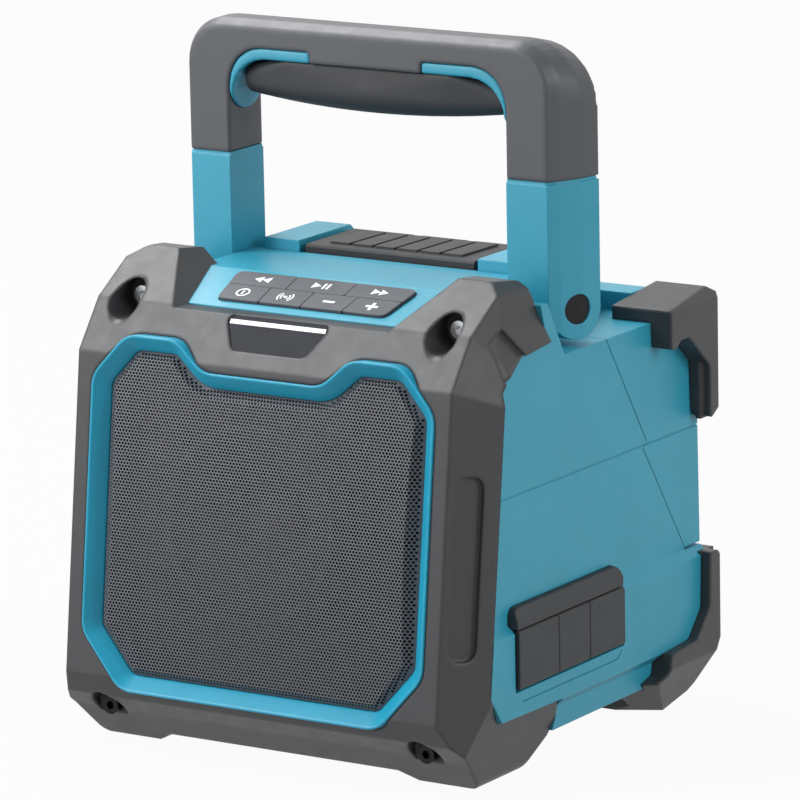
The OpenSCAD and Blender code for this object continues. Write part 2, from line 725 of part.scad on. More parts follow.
// Button k of a row of n, drawn in by d, with one radius per corner
function button_outline(k, n, s0, s1, d, r) =
    let (f = [for (e = [k, k + 1]) -1 + 2 * e / n])
    rounded(inset([
        [f[0] * cluster_hw(s0), s0], [f[1] * cluster_hw(s0), s0], [f[1] * cluster_hw(s1), s1],
        [f[0] * cluster_hw(s1), s1]
    ], d), r, 4);
// The cluster's own corners have a large radius
corner_r = 3;
inner_r = 0.5;
function front_radii(k) = [k == 0 ? corner_r : inner_r, k == 3 ? corner_r : inner_r, inner_r, inner_r];
function rear_radii(k) = [inner_r, inner_r, k == 2 ? corner_r : inner_r, k == 0 ? corner_r : inner_r];
button_low = -3.2;
switch_h = 1.2;
board_t = 1.6;
switch_top = button_low - button_travel - 0.2;
board_top = switch_top - switch_h;
board_hw = mid_hw - wall - 0.7;
module button_cap(k, n, s0, s1, radii) {
    color(dark) on_panel() difference() {
        translate([0, 0, button_low]) linear_extrude(button_rise - button_low)
            polygon(button_outline(k, n, s0, s1, button_gap / 2, radii));
        translate([0, 0, button_low - 1]) linear_extrude(2.2)
            polygon(button_outline(k, n, s0, s1, button_gap / 2 + 1.6, [for (r = radii) r / 2]));
    }
}
module front_button(k) { button_cap(k, 4, row_front, row_split, front_radii(k)); }
module rear_button(k) { button_cap(k, 3, row_split, row_rear, rear_radii(k)); }
function button_middle(k, n, s0, s1) = [(-1 + (2 * k + 1) / n) * cluster_hw((s0 + s1) / 2), (s0 + s1) / 2];
switch_places = concat(
    [for (k = [0:3]) button_middle(k, 4, row_front, row_split)],
    [for (k = [0:2]) button_middle(k, 3, row_split, row_rear)]
);
module button_power() { front_button(0); }
module button_pairing() { front_button(1); }
module button_minus() { front_button(2); }
module button_plus() { front_button(3); }
module button_previous() { rear_button(0); }
module button_play() { rear_button(1); }
module button_next() { rear_button(2); }

module control_panel() {
    color(teal) difference() {
        union() {
            intersection() {
                along_x(2 * body_w) polygon([
                    [panel_y + seat_fit, panel_z + seat_fit * tan(panel_tilt)],
                    [panel_y + seat_fit, panel_under(panel_y + seat_fit)], [deck_y, deck_low],
                    [horn_y + 1, deck_low], [horn_y + 1, deck_h], [deck_y, deck_h]
                ]);
                along_y(2 * body_d) polygon(both_sides([
                    [cheek_hw - 20 * cheek_spread - seat_fit, shelf_h - 20],
                    [cheek_hw + 40 * cheek_spread - seat_fit, shelf_h + 40]
                ]));
            }
            translate([-boss_x, horn_y + seat_fit, deck_low])
                cube([2 * boss_x, tower_front - part_gap - horn_y - seat_fit, panel_t]);
            // Posts that carry the button board
            on_panel() left_and_right() for (y = [row_front + 4, row_rear - 5])
                translate([board_hw - 2, y, board_top]) cylinder(r = 2, h = -board_top - 1);
        }
        leg_room();
        on_panel() translate([0, 0, -10]) linear_extrude(20) polygon(cluster_outline(-button_gap / 2));
    }
}
module button_board() {
    color(board_green) on_panel() translate([-board_hw, row_front, board_top - board_t])
        cube([2 * board_hw, row_rear - row_front, board_t]);
}
module key_switches() {
    color(black) on_panel() for (p = switch_places) translate([p.x, p.y, board_top]) {
        translate([-2.6, -2.6, 0]) cube([5.2, 5.2, switch_h - 0.4]);
        cylinder(r = 1.5, h = switch_h);
    }
}

// Handle: convex outer form, lofted from front to rear
module handle_section(y, grow, top_drop) {
    r = 17 + grow;
    hw = leg_out + grow;
    top = handle_top - top_drop;
    translate([0, y, 0]) rotate([90, 0, 0]) linear_extrude(0.01)
        polygon(rounded([[hw, shoulder_h], [hw, top], [-hw, top], [-hw, shoulder_h]], [0, r, r, 0], 8));
}
module handle_form(d) {
    hull() {
        handle_section(front_edge + d + 0.01, -d, 3 + d);
        handle_section(front_edge + 5, leg_flare * 0.34 - d, d);
        handle_section(pivot_y + 2, leg_flare * 0.8 - d, d);
        handle_section(pivot_y + leg_r - d, leg_flare - d, 2.5 + d);
    }
}
grip_z = handle_top - 26.4;
bar_low = handle_top - 12;
trim_low = bar_low - 5;
trim_in = 28.5;
trim_r = 17;
trim_end = bar_low - 29;
window_corner = [for (a = [0:15:90]) [leg_in - trim_r * (1 - cos(a)), bar_low - trim_r * (1 - sin(a))]];
module handle_leg() {
    color(teal) difference() {
        intersection() {
            union() {
                intersection() {
                    handle_form(0);
                    translate([0, -body_d, 0]) cube([body_w, 2 * body_d, leg_top - 1.4]);
                }
                intersection() {
                    handle_form(0.8);
                    translate([0, -body_d, 0]) cube([body_w, 2 * body_d, leg_top]);
                }
            }
            union() {
                rod_x(leg_r, leg_in, body_w, pivot_y, pivot_z);
                translate([leg_in, pivot_y - leg_r, pivot_z]) cube([body_w, 2 * leg_r, handle_reach]);
            }
        }
        rod_x(pivot_d / 2 + run_fit, 0, body_w, pivot_y, pivot_z);
        rod_x(pivot_d / 2 + 2.4 + seat_fit, leg_out - 2, body_w, pivot_y, pivot_z);
    }
}
module handle_leg_right() { handle_leg(); }
module handle_leg_left() { mirror([1, 0, 0]) handle_leg(); }
module handle_shell() {
    color(dark) difference() {
        handle_form(0);
        translate([-body_w, -body_d, 0]) cube([2 * body_w, 2 * body_d, leg_top]);
        depth_slab(-body_d, body_d) polygon(both_sides(concat(
            [[leg_in, 0]], window_corner, [[trim_in, bar_low], [trim_in, trim_low]]
        )));
        // Hollow in the rear edge of the bar
        translate([0, pivot_y + leg_r + 190, bar_low - 8]) cylinder(r = 198, h = 40, $fn = 200);
    }
}
// Thickest in the middle, with slim ends let into the trim
module handle_grip() {
    bulge = (leg_in * leg_in + 5.2 * 5.2) / (2 * 5.2);
    step = (leg_in - 5) / 10;
    color(dark) difference() {
        hull() {
            translate([0, pivot_y, grip_z]) rotate([0, 90, 0]) rotate_extrude($fn = 40) polygon(concat(
                [[0, -leg_in + 5]],
                [for (k = [-10:10]) [grip_r - bulge + sqrt(bulge * bulge - k * k * step * step), k * step]],
                [[0, leg_in - 5]]
            ));
            translate([-leg_in + 29, front_edge + 1.6, trim_low - 1])
                cube([2 * leg_in - 58, pivot_y + 4 - front_edge - 1.6, 1]);
        }
        translate([-body_w, -body_d, trim_low]) cube([2 * body_w, 2 * body_d, 40]);
    }
}
module handle_trim() {
    color(teal) difference() {
        intersection() {
            depth_slab(front_edge + 0.7, pivot_y + leg_r - 2) polygon(concat(
                [[trim_in, trim_low], [trim_in, bar_low]], [for (k = [6:-1:0]) window_corner[k]],
                [[leg_in, trim_end], [leg_in - 1.2, trim_end]],
                [for (a = [0:15:90]) [leg_in - 1.2 - trim_r * (1 - cos(a)),
                    trim_low - trim_r * (1 - sin(a))]]
            ));
            handle_form(0);
            // Round lower end
            union() {
                rod_x(leg_r, 0, body_w, pivot_y, trim_end + leg_r);
                translate([0, -body_d, trim_end + leg_r]) cube(2 * body_d);
            }
        }
        translate([0, pivot_y + leg_r + 190, bar_low - 40]) cylinder(r = 198, h = 60, $fn = 200);
        translate([0, pivot_y, grip_z]) rotate([0, 90, 0]) cylinder(r = grip_r - 2.4, h = leg_in - 4);
    }
}
module handle_trim_right() { handle_trim(); }
module handle_trim_left() { mirror([1, 0, 0]) handle_trim(); }
module pivot_bolts() {
    color(steel) left_and_right() rod_x(pivot_d / 2, mid_hw - wall + 0.5, leg_out - 2.5, pivot_y, pivot_z);
}
module pivot_washers() {
    color(black) left_and_right() translate([boss_x, pivot_y, pivot_z]) rotate([0, 90, 0])
        ring(leg_r - 3, pivot_d / 2 + run_fit, 0.7);
}
module pivot_caps() {
    color(black) left_and_right() intersection() {
        rod_x(pivot_d / 2 + 2.4, leg_out - 1.9, body_w, pivot_y, pivot_z);
        handle_form(0.7);
    }
}

module battery_cover() {
    color(teal) difference() {
        union() {
            difference() {
                body_block(cover_side);
                // Shoulders beside the tower and beside the plateau
                left_and_right() {
                    translate([tower_hw, -1, shoulder_h]) cube([body_w, plateau_y + 1, body_d]);
                    translate([plateau_hw, 0, shoulder_h]) cube([body_w, body_d, body_d]);
                }
                // Hollow of the battery bay
                side_slab(-tower_hw + wall, tower_hw - wall) polygon([
                    [cover_low_y - 60, cover_low + wall], [back_y - wall, cover_low + wall],
                    [back_y - wall, plateau_h - wall - 5], [plateau_y - 2, plateau_h - wall - 2],
                    [tower_rear - 2, tower_seat - 2], [cover_low_y - 90, tower_seat - 2]
                ]);
                side_slab(-upper_x + 4 + wall, upper_x - 4 - wall) polygon([
                    [cover_low_y - 60, cover_low + wall], [back_y - wall, cover_low + wall],
                    [back_y - wall, shoulder_h - wall], [cover_low_y - 90, shoulder_h - wall]
                ]);
            }
            for (x = cover_knuckles) rod_knuckle(x);
        }
        crease_grooves();
        // Latch bay, lip slot and pin holes
        translate([-latch_bay, 0, latch_floor]) cube([2 * latch_bay, tower_rear + 20, 20]);
        translate([-latch_hw - 1, 0, tower_seat - 1]) cube([latch_w + 2, latch_front + 2.4, 20]);
        translate([-26, 0, tower_seat - 1]) cube([52, latch_front + 7.5, 20]);
        rod_x(latch_pin_d / 2 + run_fit, -latch_bay - 6, latch_bay + 6, latch_axis_y, latch_axis_z);
        rod_x(hinge_d / 2 + run_fit, -body_w, body_w, hinge_y, hinge_z);
        // Room for the housing's knuckles
        for (x = [-knuckle_x, knuckle_x])
            rod_x(hinge_r + part_gap, x - knuckle_w / 2 - part_gap, x + knuckle_w / 2 + part_gap,
                hinge_y, hinge_z);
    }
}
// One knuckle of the cover, with the web that joins it to the rear wall
module rod_knuckle(x) {
    difference() {
        union() {
            rod_x(hinge_r, x, x + knuckle_w * 0.6, hinge_y, hinge_z);
            translate([x, back_y - 1, hinge_z])
                cube([knuckle_w * 0.6, hinge_y + hinge_r - back_y + 1, hinge_r + 2]);
        }
        translate([x - 1, back_y - 20, hinge_z - 10]) cube([knuckle_w, 20.4, 10 + cover_low - hinge_z]);
    }
}
module cover_hinge_pin() {
    color(steel) rod_x(hinge_d / 2, -knuckle_x - knuckle_w, knuckle_x + 2 * knuckle_w, hinge_y, hinge_z);
}

// Slanted vertical edge of the right rear corner
module corner_cut() {
    linear_extrude(2 * deck_h)
        polygon([[half_w - 4, rear_y + 1], [half_w + 1, rear_y + 1], [half_w + 1, rear_y - 4]]);
}
// Corner bumper of the cover: slab, side hook and rear leg
module cover_bumper() {
    top = shoulder_h + slab_t;
    color(dark) difference() {
        union() {
            side_slab(upper_x - 8, half_w) polygon(rounded([
                [back_y - 37, shoulder_h - 11], [back_y - 33, shoulder_h - 11], [back_y - 29, shoulder_h - 8],
                [back_y - 22, shoulder_h - 8], [back_y - 4, shoulder_h - 24], [back_y - 4, shoulder_h - 48],
                [rear_y, shoulder_h - 42], [rear_y, top + slab_rise], [back_y - 37, top + slab_rise]
            ], [1, 1, 1, 1, 4, 1, 2, 2, 1], 3));
            translate([plateau_hw + seat_fit, back_y - 37, shoulder_h])
                cube([half_w - plateau_hw - 6, 35, slab_t + slab_rise]);
            depth_slab(back_y - 6, rear_y) polygon([
                [plateau_hw + seat_fit, shoulder_h - 16], [half_w - 6, shoulder_h - 48],
                [half_w - 4, shoulder_h - 48], [half_w - 4, top + slab_rise],
                [plateau_hw + seat_fit, top + slab_rise]
            ]);
        }
        body_block(cover_side_plain);
        // Slanted outer edge
        side_slab(0, body_w) polygon([
            [back_y - 75, top - slab_rise], [back_y - 37, top], [back_y + 1, top + slab_rise],
            [rear_y + 9, top + slab_rise - 9], [rear_y + 9, top + 20], [back_y - 75, top + 20]
        ]);
        depth_slab(-body_d, body_d) polygon([
            [half_w + 1, top - 2], [half_w - slab_rise - 2, top + slab_rise + 1], [half_w + 9, top + 9]
        ]);
        corner_cut();
    }
}
// Cover block up to the shoulders only
cover_side_plain = [
    [cover_low_y, cover_low], [back_y, cover_low], [back_y, shoulder_h], [cover_top_y, shoulder_h],
    [crease_y, crease_h + 1.5], [crease_y - crease_jog, crease_h - 1.5]
];
module cover_bumper_right() { cover_bumper(); }
module cover_bumper_left() { mirror([1, 0, 0]) cover_bumper(); }

// Latch pad with ribs, hinged at its rear edge, with a lip over the keeper
rib_n = 6;
rib_pitch = 11.6;
module cover_latch() {
    color(dark) difference() {
        union() {
            side_slab(-latch_hw, latch_hw) polygon([
                [latch_front, latch_z], [latch_rear - 5.2, latch_z], [latch_rear - 0.8, latch_z + 1.4],
                [latch_rear, latch_z + 2.2], [latch_rear, latch_z + latch_t],
                [latch_front + 1, latch_z + latch_t], [latch_front, latch_z + latch_t - 1]
            ]);
            side_slab(-20, 20) polygon([
                [latch_front, latch_z - 1.6], [latch_front + 1.6, latch_z - 1.6],
                [latch_front + 1.6, latch_z + 1], [latch_front, latch_z + 1]
            ]);
            for (k = [0:rib_n - 1])
                translate([(k - (rib_n - 1) / 2) * rib_pitch, 0, latch_z + latch_t - 0.01])
                    linear_extrude(1) polygon([
                        [-5.2, latch_front + 6], [4.6, latch_front + 6],
                        [5.6, latch_rear - 5], [-4.2, latch_rear - 5]
                    ]);
        }
        rod_x(latch_pin_d / 2 + run_fit, -body_w, body_w, latch_axis_y, latch_axis_z);
        for (x = [-12, 16]) translate([x, latch_rear - 1.6, latch_z]) cube([4, 5, 2 * latch_t]);
    }
}
module latch_pin() {
    color(steel) rod_x(latch_pin_d / 2, -latch_bay - 5, latch_bay + 5, latch_axis_y, latch_axis_z);
}

// Lower rear corner bumper with its foot
module rear_bumper() {
    top = ledge_h - 2;
    color(dark) difference() {
        union() {
            side_slab(skirt_x - 12, half_w) polygon(rounded([
                [back_y - 50, 0], [back_y - 30, 0], [back_y - 13, 5], [back_y - 9, 8], [rear_y, 32],
                [rear_y, top - 5], [rear_y - 5, top], [back_y - 5, top], [back_y - 6, ledge_h - 27],
                [back_y - 17, stripe_top + 1.5], [back_y - 39, stripe_top], [back_y - 41, floor_h + 5],
                [back_y - 58, floor_h], [back_y - 58, 5]
            ], [1, 1, 1, 1, 3, 2, 1, 1, 4, 3, 2, 2, 1, 1], 3));
            depth_slab(back_y - 6, rear_y) polygon([
                [half_w - 44, 2], [half_w - 5, 2], [half_w - 5, top], [half_w - 22, top], [half_w - 30, 34]
            ]);
            translate([half_w - 44, back_y - 40, 0]) cube([36, 34, floor_h + 1]);
        }
        body_block(housing_side);
        corner_cut();
        depth_slab(-body_d, body_d) polygon([[half_w + 1, -1], [half_w + 1, 24], [half_w - 11, -1]]);
        side_slab(0, body_w) polygon([
            [back_y - 30, 0], [back_y - 13, 5], [back_y - 9, 8], [rear_y, 32],
            [rear_y + 9, 46], [rear_y + 9, -1], [back_y - 30, -1]
        ]);
        // Slanted front corner of the foot
        translate([half_w - 29, back_y - 40, 0]) rotate([0, 48, -62.6])
            translate([0, -body_d, -body_d]) cube(2 * body_d);
        right_rear_screws() {
            cylinder(d = screw_d * 2 + 1, h = 30);
            translate([0, 0, -14]) cylinder(d = screw_d + 2 * run_fit, h = 30);
        }
    }
}
module rear_bumper_right() { rear_bumper(); }
module rear_bumper_left() { mirror([1, 0, 0]) rear_bumper(); }
// Screws that hold the rear bumpers from behind: z points backwards
module right_rear_screws() {
    for (p = [[half_w - 15, ledge_h - 13], [half_w - 19, ledge_h - 30]])
        translate([p.x, back_y + 2, p.y]) rotate([-90, 0, 0]) children();
}
module rear_screw_places() { left_and_right() right_rear_screws() children(); }
module rear_bumper_screws() {
    color(steel) rear_screw_places() difference() {
        union() {
            cylinder(d = screw_d * 2, h = 2.4);
            translate([0, 0, -13]) cylinder(d = screw_d, h = 14);
        }
        translate([0, 0, 1]) cylinder(d = screw_d, h = 3, $fn = 6);
    }
}

// Slide rails and contacts for the battery, on the slanted wall of the bay
module battery_rails() {
    color(black) on_bay(0.45) for (m = [0, 1]) mirror([m, 0, 0]) difference() {
        translate([29, -36, part_gap]) cube([10, 72, 11]);
        translate([20, -40, 5]) cube([14, 80, 3.4]);
        for (y = [-24, 24]) translate([34, y, -1]) cylinder(d = 3, h = 3);
    }
}
module battery_terminals() {
    color(dark) on_bay(0.45) {
        translate([-20, -34, part_gap]) cube([40, 22, 9]);
        for (x = [-12, 0, 12]) translate([x - 0.5, -12, 5]) cube([1, 14, 4]);
        translate([-20, -12, part_gap]) cube([40, 16, 2.5]);
    }
}

// Amplifier board on posts in the floor of the chamber
board_w = 96;
board_d = 52;
board_y = pivot_y + 27;
board_z = chamber_low + 6;
module main_board() {
    color(board_green) {
        translate([-board_w / 2, board_y - board_d / 2, board_z]) cube([board_w, board_d, board_t]);
        for (x = [-1, 1], y = [-1, 1])
            translate([x * (board_w / 2 - 5), board_y + y * (board_d / 2 - 5), chamber_low])
                cylinder(d = 6, h = 6);
    }
}
module board_components() {
    color(black) translate([0, board_y, board_z + board_t]) {
        for (k = [0:3]) translate([-36 + 14 * k, 12, 0]) cylinder(d = 10, h = 14);
        translate([-30, -16, 0]) cube([18, 18, 3]);
        translate([-4, -18, 0]) cube([14, 10, 2.4]);
        translate([18, -20, 0]) cube([22, 16, 12]);
        for (k = [0:2]) translate([24 + 7 * k, 8, 0]) cube([5, 9, 6]);
    }
}

// Port cover: fixed spine with three flaps hanging from it
module spine_solid(d) {
    side_slab(upper_x - 2.2, side_x + 1.6 + d) polygon(rounded(inset([
        [flap_lines[0] - 1, spine_z], [flap_lines[3] - 1, spine_z], [flap_lines[3] - 1, spine_z + spine_h],
        [flap_lines[0] - 1, spine_z + spine_h]
    ], -d), [1, 1, 4, 4]));
}
module port_spine() {
    color(dark) difference() {
        spine_solid(0);
        // Slanted face above the flaps
        depth_slab(-body_d, body_d) polygon([
            [side_x - 1.2, spine_z + spine_h + 1.5], [side_x + 2, spine_z + spine_h / 3],
            [side_x + 9, spine_z + spine_h / 3], [side_x + 9, spine_z + spine_h + 1.5]
        ]);
    }
}
module flap(k) {
    y0 = flap_lines[k] + flap_gap / 2;
    y1 = flap_lines[k + 1] - flap_gap / 2;
    color(dark) depth_slab(y0, y1) union() {
        translate([flap_x, flap_z]) circle(d = flap_t);
        polygon([
            [flap_x - flap_t / 2, flap_z], [flap_x - flap_t / 2, flap_z - flap_h],
            [flap_x + flap_t / 2 - 0.6, flap_z - flap_h],
            [flap_x + flap_t / 2, flap_z - flap_h + 0.8], [flap_x + flap_t / 2, flap_z]
        ]);
    }
}
module flap_charge() { flap(0); }
module flap_aux() { flap(1); }
module flap_usb() { flap(2); }

function flap_mid(k) = (flap_lines[k] + flap_lines[k + 1]) / 2;
usb_w = 14.4;
usb_h = 7;
module port_sockets(d) {
    rod_x(5.5 + d, jack_in - 20 * d, jack_out + 20 * d, flap_mid(0), port_z);
    rod_x(4 + d, jack_in - 20 * d, jack_out + 20 * d, flap_mid(1), port_z);
    translate([jack_in - 20 * d, flap_mid(2) - usb_w / 2 - d, port_z - usb_h / 2 - d])
        cube([jack_out - jack_in + 40 * d, usb_w + 2 * d, usb_h + 2 * d]);
}
module charge_jack() {
    color(black) difference() {
        rod_x(5.5, jack_in, jack_out, flap_mid(0), port_z);
        difference() {
            rod_x(3.2, jack_in + 3, body_w, flap_mid(0), port_z);
            rod_x(1.1, jack_in, jack_out - 1, flap_mid(0), port_z);
        }
    }
}
module aux_jack() {
    color(black) difference() {
        rod_x(4, jack_in, jack_out, flap_mid(1), port_z);
        rod_x(1.8, jack_in + 3, body_w, flap_mid(1), port_z);
    }
}
module usb_port() {
    color(steel) difference() {
        translate([jack_in, flap_mid(2) - usb_w / 2, port_z - usb_h / 2])
            cube([jack_out - jack_in, usb_w, usb_h]);
        difference() {
            translate([jack_in + 3, flap_mid(2) - usb_w / 2 + 0.8, port_z - usb_h / 2 + 0.8])
                cube([30, usb_w - 1.6, usb_h - 1.6]);
            translate([jack_in, flap_mid(2) - usb_w / 2 + 1.6, port_z])
                cube([jack_out - jack_in - 1, usb_w - 3.2, 1.9]);
        }
    }
}
module port_board() {
    color(board_green) translate([jack_in - board_t, flap_lines[0] + 6, port_z - 10])
        cube([board_t, flap_lines[3] - flap_lines[0] - 12, 20]);
}

main_housing();
front_bumper();
front_screws();
grille_bezel();
speaker_grille();
baffle();
woofer_basket();
woofer_surround();
woofer_cone();
voice_coil();
woofer_magnet();
woofer_screws();
tweeter_frame();
tweeter_dome();
led_window();
led_light_bar();
control_panel();
button_power();
button_pairing();
button_minus();
button_plus();
button_previous();
button_play();
button_next();
button_board();
key_switches();
pivot_bolts();
pivot_washers();
handle_leg_left();
handle_leg_right();
handle_shell();
handle_grip();
handle_trim_left();
handle_trim_right();
pivot_caps();
battery_cover();
cover_bumper_left();
cover_bumper_right();
cover_hinge_pin();
cover_latch();
latch_pin();
rear_bumper_left();
rear_bumper_right();
rear_bumper_screws();
battery_rails();
battery_terminals();
main_board();
board_components();
port_spine();
flap_charge();
flap_aux();
flap_usb();
charge_jack();
aux_jack();
usb_port();
port_board();
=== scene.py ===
import json
import math

import bmesh
import bpy
from mathutils import Matrix, Vector
from mathutils.bvhtree import BVHTree
from mathutils.geometry import delaunay_2d_cdt, intersect_point_line
from mathutils.kdtree import KDTree


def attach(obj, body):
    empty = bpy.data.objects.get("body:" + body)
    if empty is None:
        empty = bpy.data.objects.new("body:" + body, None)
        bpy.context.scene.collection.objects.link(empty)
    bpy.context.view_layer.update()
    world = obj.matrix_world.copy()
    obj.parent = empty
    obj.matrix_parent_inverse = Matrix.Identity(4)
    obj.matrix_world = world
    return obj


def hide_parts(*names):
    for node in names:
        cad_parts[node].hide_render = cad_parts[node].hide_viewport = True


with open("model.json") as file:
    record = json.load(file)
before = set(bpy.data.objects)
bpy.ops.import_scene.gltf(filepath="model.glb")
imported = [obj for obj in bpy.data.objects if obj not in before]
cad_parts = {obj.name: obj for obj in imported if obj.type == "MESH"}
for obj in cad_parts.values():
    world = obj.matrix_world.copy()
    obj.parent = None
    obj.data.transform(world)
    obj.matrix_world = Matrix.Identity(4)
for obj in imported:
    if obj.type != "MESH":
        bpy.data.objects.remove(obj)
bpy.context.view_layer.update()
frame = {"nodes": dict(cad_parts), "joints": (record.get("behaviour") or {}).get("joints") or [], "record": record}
nodes = frame["nodes"]
joints = {j["name"]: j for j in frame["joints"]}
MM = 0.001
SAME_PLACE = 0.00002    # points nearer than this are one point


# Materials

def srgb(text):
    """Linear colour of a six-digit sRGB text."""
    parts = [int(text[i:i + 2], 16) / 255 for i in (0, 2, 4)]
    return [c / 12.92 if c < 0.04045 else ((c + 0.055) / 1.055) ** 2.4 for c in parts]


class Shader:
    """A Principled material whose grain, mottling and painted edge highlights come from the object's own
    coordinates.
    """

    def __init__(self, name, colour, rough, metallic=0.0):
        self.mat = bpy.data.materials.new(name)
        self.mat.use_nodes = True
        self.tree = self.mat.node_tree
        self.bsdf = self.tree.nodes["Principled BSDF"]
        self.colour = colour
        self.rough = rough
        self.bsdf.inputs["Base Color"].default_value = (*colour, 1)
        self.bsdf.inputs["Roughness"].default_value = rough
        self.bsdf.inputs["Metallic"].default_value = metallic
        self.place = self.node("ShaderNodeTexCoord").outputs["Object"]
        self.surface = None
        self.round = None
        self.mat.diffuse_color = (*colour, 1)

    def node(self, kind, **inputs):
        made = self.tree.nodes.new(kind)
        for key, value in inputs.items():
            made.inputs[key.replace("_", " ")].default_value = value
        return made

    def link(self, a, b):
        self.tree.links.new(a, b)

    def noise(self, size, detail=2.0, rough=0.5):
        """Noise whose features are about size metres across."""
        made = self.node("ShaderNodeTexNoise", Scale=1 / size, Detail=detail, Roughness=rough)
        self.link(self.place, made.inputs["Vector"])
        return made.outputs["Fac"]

    def spread(self, source, low, high, start=0.3, end=0.7):
        """What runs from start to end in the source, run from low to high."""
        made = self.node("ShaderNodeMapRange")
        for key, value in zip(("From Min", "From Max", "To Min", "To Max"), (start, end, low, high)):
            made.inputs[key].default_value = value
        self.link(source, made.inputs["Value"])
        return made.outputs["Result"]

    def mottle(self, size, amount):
        """Lighter and darker patches."""
        mix = self.node("ShaderNodeMix")
        mix.data_type = "RGBA"
        mix.inputs["A"].default_value = (*[c * (1 - amount) for c in self.colour], 1)
        mix.inputs["B"].default_value = (*[min(1, c * (1 + amount)) for c in self.colour], 1)
        self.link(self.spread(self.noise(size, 4.0), 0, 1), mix.inputs["Factor"])
        self.surface = mix.outputs["Result"]
        self.link(self.surface, self.bsdf.inputs["Base Color"])
        return self

    def edge_highlight(self, radius, gain):
        """Painted highlight: edges take on a paler tone, broken up by noise, where rounded edges would catch the
        light.
        """
        bevel = self.node("ShaderNodeBevel", Radius=radius)
        bevel.samples = 6
        self.round = bevel.outputs["Normal"]
        flat = self.node("ShaderNodeNewGeometry")
        dot = self.node("ShaderNodeVectorMath")
        dot.operation = "DOT_PRODUCT"
        self.link(bevel.outputs["Normal"], dot.inputs[0])
        self.link(flat.outputs["Normal"], dot.inputs[1])
        mask = self.spread(dot.outputs["Value"], 1, 0, 0.90, 0.995)
        broken = self.node("ShaderNodeMath")
        broken.operation = "MULTIPLY"
        self.link(mask, broken.inputs[0])
        self.link(self.spread(self.noise(0.004, 3.0), 0.25, 1), broken.inputs[1])
        mix = self.node("ShaderNodeMix")
        mix.data_type = "RGBA"
        self.link(broken.outputs["Value"], mix.inputs["Factor"])
        self.link(self.surface, mix.inputs["A"])
        mix.inputs["B"].default_value = (*[min(1, c * gain + 0.01) for c in self.colour], 1)
        self.link(mix.outputs["Result"], self.bsdf.inputs["Base Color"])
        return self

    def grain(self, size, depth):
        """Fine moulded grain, as bump and as roughness."""
        bump = self.node("ShaderNodeBump", Strength=0.6, Distance=depth)
        self.link(self.noise(size, 3.0, 0.6), bump.inputs["Height"])
        if self.round:
            self.link(self.round, bump.inputs["Normal"])
        self.link(bump.outputs["Normal"], self.bsdf.inputs["Normal"])
        self.link(self.spread(self.noise(size * 12, 3.0), self.rough - 0.03, self.rough + 0.03),
                  self.bsdf.inputs["Roughness"])
        return self

    def below(self, height, colour):
        """Painted shade: another colour on what lies below a height, standing in for shadow there."""
        split = self.node("ShaderNodeSeparateXYZ")
        self.link(self.place, split.inputs["Vector"])
        mix = self.node("ShaderNodeMix")
        mix.data_type = "RGBA"
        self.link(self.spread(split.outputs["Z"], 0, 1, height - 0.01, height + 0.01), mix.inputs["Factor"])
        mix.inputs["A"].default_value = (*colour, 1)
        self.link(self.surface, mix.inputs["B"])
        self.link(mix.outputs["Result"], self.bsdf.inputs["Base Color"])
        return self

    def set(self, **inputs):
        """Values of the Principled node's own inputs."""
        for key, value in inputs.items():
            self.bsdf.inputs[key.replace("_", " ")].default_value = value
        return self


teal = srgb("2e98b2")
# In these looks the edge step paints a paler tone along edges: a painted highlight.
looks = {
    "teal_shell": Shader("teal_shell", teal, 0.42).mottle(0.03, 0.04).edge_highlight(0.0008, 1.25)
        .grain(0.0005, 0.00003),
    "bumper": Shader("bumper", srgb("363739"), 0.43).mottle(0.02, 0.03).edge_highlight(0.0022, 1.2)
        .grain(0.0006, 0.00006).set(Specular_IOR_Level=0.4),
    "handle_dark": Shader("handle_dark", srgb("47494d"), 0.46).mottle(0.02, 0.03).edge_highlight(0.001, 1.3)
        .grain(0.0005, 0.00005),
    "soft_grip": Shader("soft_grip", srgb("2c2d30"), 0.6).mottle(0.015, 0.08).grain(0.0007, 0.00008),
    "button_rubber": Shader("button_rubber", srgb("4e5156"), 0.6).mottle(0.01, 0.06).edge_highlight(0.0005, 1.3)
        .grain(0.0005, 0.00003),
    "flap_rubber": Shader("flap_rubber", srgb("25282b"), 0.58).mottle(0.012, 0.08).edge_highlight(0.0006, 1.5)
        .grain(0.0006, 0.00005),
    "black_plastic": Shader("black_plastic", srgb("161719"), 0.55).mottle(0.01, 0.1).grain(0.0006, 0.00004)
        .set(Specular_IOR_Level=0.2),
    "grille_steel": Shader("grille_steel", srgb("5b5e64"), 0.42).mottle(0.01, 0.04).grain(0.0004, 0.00002),
    "indicator_window": Shader("indicator_window", srgb("2a2c32"), 0.45).mottle(0.008, 0.1)
        .grain(0.004, 0.000004).set(Specular_IOR_Level=0.08),
    "indicator_light": Shader("indicator_light", srgb("eef2f4"), 0.35).mottle(0.006, 0.02)
        .grain(0.0008, 0.00001),
    "steel": Shader("steel", srgb("75777b"), 0.3, 1.0).mottle(0.004, 0.12).grain(0.0004, 0.00002),
    "magnet": Shader("magnet", srgb("2b2b2d"), 0.5).mottle(0.006, 0.15).grain(0.0005, 0.00004),
    "copper": Shader("copper", srgb("b87333"), 0.35, 1.0).mottle(0.003, 0.15).grain(0.0003, 0.00003),
    "cone_paper": Shader("cone_paper", srgb("2f3033"), 0.75).mottle(0.003, 0.2).grain(0.0006, 0.0001),
    "board": Shader("board", srgb("2c5e3f"), 0.45).mottle(0.004, 0.2).grain(0.0008, 0.00003),
}
# The bezel's edges also carry a painted highlight.
bezel_teal = Shader("bezel_teal", srgb("1c96b6"), 0.36).mottle(0.02, 0.04).edge_highlight(0.0008, 1.5)
bezel_teal.grain(0.0005, 0.00002).set(Specular_IOR_Level=0.35)
print_white = Shader("print_white", srgb("eceff1"), 0.5).mottle(0.003, 0.03).grain(0.0005, 0.00001)

